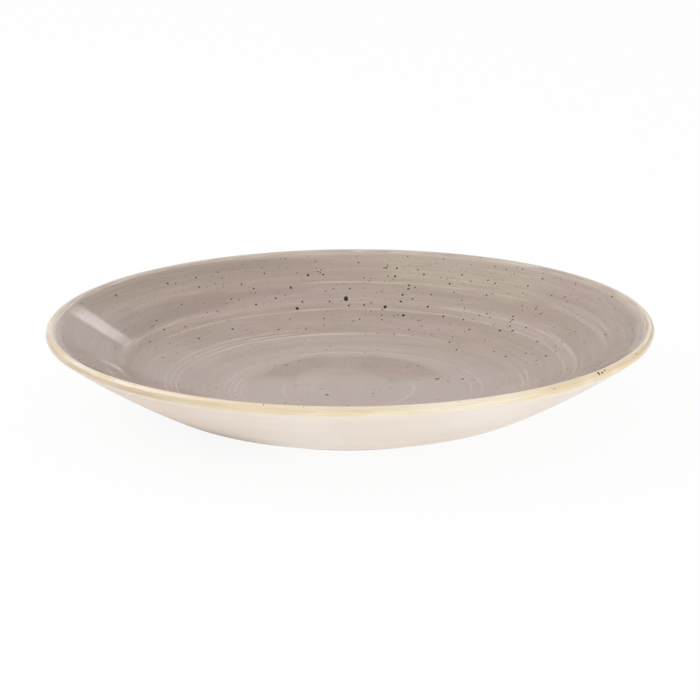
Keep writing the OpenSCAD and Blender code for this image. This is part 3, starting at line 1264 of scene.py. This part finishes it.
def makeFloor():
    half = studio["floorSize"] / 2
    mesh = bpy.data.meshes.new("floor")
    corners = [(-half, -half, 0), (half, -half, 0), (half, half, 0), (-half, half, 0)]
    mesh.from_pydata(corners, [], [(0, 1, 2, 3)])
    floor = bpy.data.objects.new("floor", mesh)
    scene.collection.objects.link(floor)
    material = bpy.data.materials.new("whiteFloor")
    material.use_nodes = True
    tree = material.node_tree
    tree.nodes.clear()
    matt = addNode(tree, "ShaderNodeBsdfDiffuse")
    glow = addNode(tree, "ShaderNodeEmission")
    path = addNode(tree, "ShaderNodeLightPath").outputs
    seen = calc(tree, "MAXIMUM", path["Is Camera Ray"], path["Is Transmission Ray"])
    spot = addNode(tree, "ShaderNodeTexCoord").outputs["Object"]
    beyond = remap(tree, vectorCalc(tree, "LENGTH", spot), studio["shadeInner"], studio["shadeOuter"])
    rightward = remap(tree, axes(tree, spot)["X"], studio["shadeLeft"], studio["shadeRight"])
    outside = calc(tree, "MAXIMUM", beyond, rightward)
    share = calc(tree, "MULTIPLY_ADD", path["Is Glossy Ray"], studio["shadeShare"] - 1.0, 1.0)
    shaded = calc(tree, "MULTIPLY", calc(tree, "SUBTRACT", 1.0, outside), share)
    clear = calc(tree, "SUBTRACT", 1.0, shaded)
    shown = calc(tree, "MAXIMUM", clear, seen)
    # painted shadow: left of the foot the floor's colour turns dark for bounced and reflected rays
    tint = blendColour(tree, shown, studio["shadeColour"], studio["floorColour"])
    feed(tree, matt.inputs["Color"], tint)
    mirrored = studio["floorGlow"] - studio["floorLight"]
    level = calc(tree, "MULTIPLY_ADD", path["Is Glossy Ray"], mirrored, studio["floorLight"])
    lent = calc(tree, "MULTIPLY", clear, level)
    mixed = addNode(tree, "ShaderNodeMixShader")
    more = calc(tree, "SUBTRACT", studio["floorGlow"], lent)
    feed(tree, mixed.inputs[0], calc(tree, "MULTIPLY_ADD", seen, more, lent))
    tree.links.new(matt.outputs[0], mixed.inputs[1])
    tree.links.new(glow.outputs[0], mixed.inputs[2])
    output = addNode(tree, "ShaderNodeOutputMaterial")
    tree.links.new(mixed.outputs[0], output.inputs["Surface"])
    mesh.materials.append(material)


def makeSky():
    world = bpy.data.worlds.new("studioSky")
    scene.world = world
    world.use_nodes = True
    tree = world.node_tree
    parts = axes(tree, addNode(tree, "ShaderNodeTexCoord").outputs["Generated"])
    rise = calc(tree, "POWER", calc(tree, "MAXIMUM", parts["Z"], 0.0), studio["skyPower"])
    level = calc(tree, "MULTIPLY_ADD", rise, studio["skyRise"], studio["skyBase"])
    tree.nodes["Background"].inputs["Color"].default_value = (1.0, 1.0, 1.0, 1.0)
    tree.links.new(level, tree.nodes["Background"].inputs["Strength"])


# Softboxes: place, the spot they face, width, height, turn about their own axis and how bright they are
lamps = {
    "keySoftbox": {
        "at": (-1.2, 0.16, 1.04),
        "to": (0, 0, 0.03),
        "size": (1.0, 1.0),
        "roll": 0,
        "level": 1.6,
    },
    "frontFill": {
        "at": (1.2, -1.6, 0.15),
        "to": (0, 0, 0.02),
        "size": (2.6, 0.3),
        "roll": 0,
        "level": 4.6,
    },
    "backStrip": {
        "at": (1.033, 3.52, 1.601),
        "to": (-0.117, 0.026, 0.031),
        "size": (0.116, 0.42),
        "roll": 32,
        "level": 1.7,
    },
}


def makeLamp(name, lamp):
    data = bpy.data.lights.new(name, "AREA")
    data.shape = "RECTANGLE"
    data.size, data.size_y = lamp["size"]
    data.energy = lamp["level"] * math.pi * lamp["size"][0] * lamp["size"][1]
    item = bpy.data.objects.new(name, data)
    item.location = lamp["at"]
    aim = Vector(lamp["to"]) - Vector(lamp["at"])
    turned = aim.to_track_quat("-Z", "Y").to_matrix() @ Matrix.Rotation(math.radians(lamp["roll"]), 3, "Z")
    item.rotation_euler = turned.to_euler()
    item.visible_camera = False
    scene.collection.objects.link(item)


makeFloor()
makeSky()
for lampName, lampValues in lamps.items():
    makeLamp(lampName, lampValues)
print("studio:", len(lamps), "softboxes")

# Camera: where the photo was taken from
view = {
    "distance": 1.2,
    "elevation": 16.06,
    "aimHeight": 0.020,
    "lens": 132.85,
    "sensor": 36.0,
    "nearest": 0.05,
    "lookUp": 0.262,
    "lookRight": -0.002,
    "roll": -0.33,
}


def makeCamera():
    data = bpy.data.cameras.new("camera")
    data.lens = view["lens"]
    data.sensor_width = view["sensor"]
    data.clip_start = view["nearest"]
    camera = bpy.data.objects.new("camera", data)
    lift = math.radians(view["elevation"])
    back = view["distance"] * math.cos(lift)
    rise = view["distance"] * math.sin(lift)
    camera.location = (0, -back, view["aimHeight"] + rise)
    tilt = math.radians(90 - view["elevation"] + view["lookUp"])
    turned = Matrix.Rotation(math.radians(-view["lookRight"]), 4, "Z") @ Matrix.Rotation(tilt, 4, "X")
    turned = turned @ Matrix.Rotation(math.radians(view["roll"]), 4, "Z")
    camera.rotation_euler = turned.to_euler()
    scene.collection.objects.link(camera)
    scene.camera = camera


makeCamera()
scene.view_settings.view_transform = "Standard"
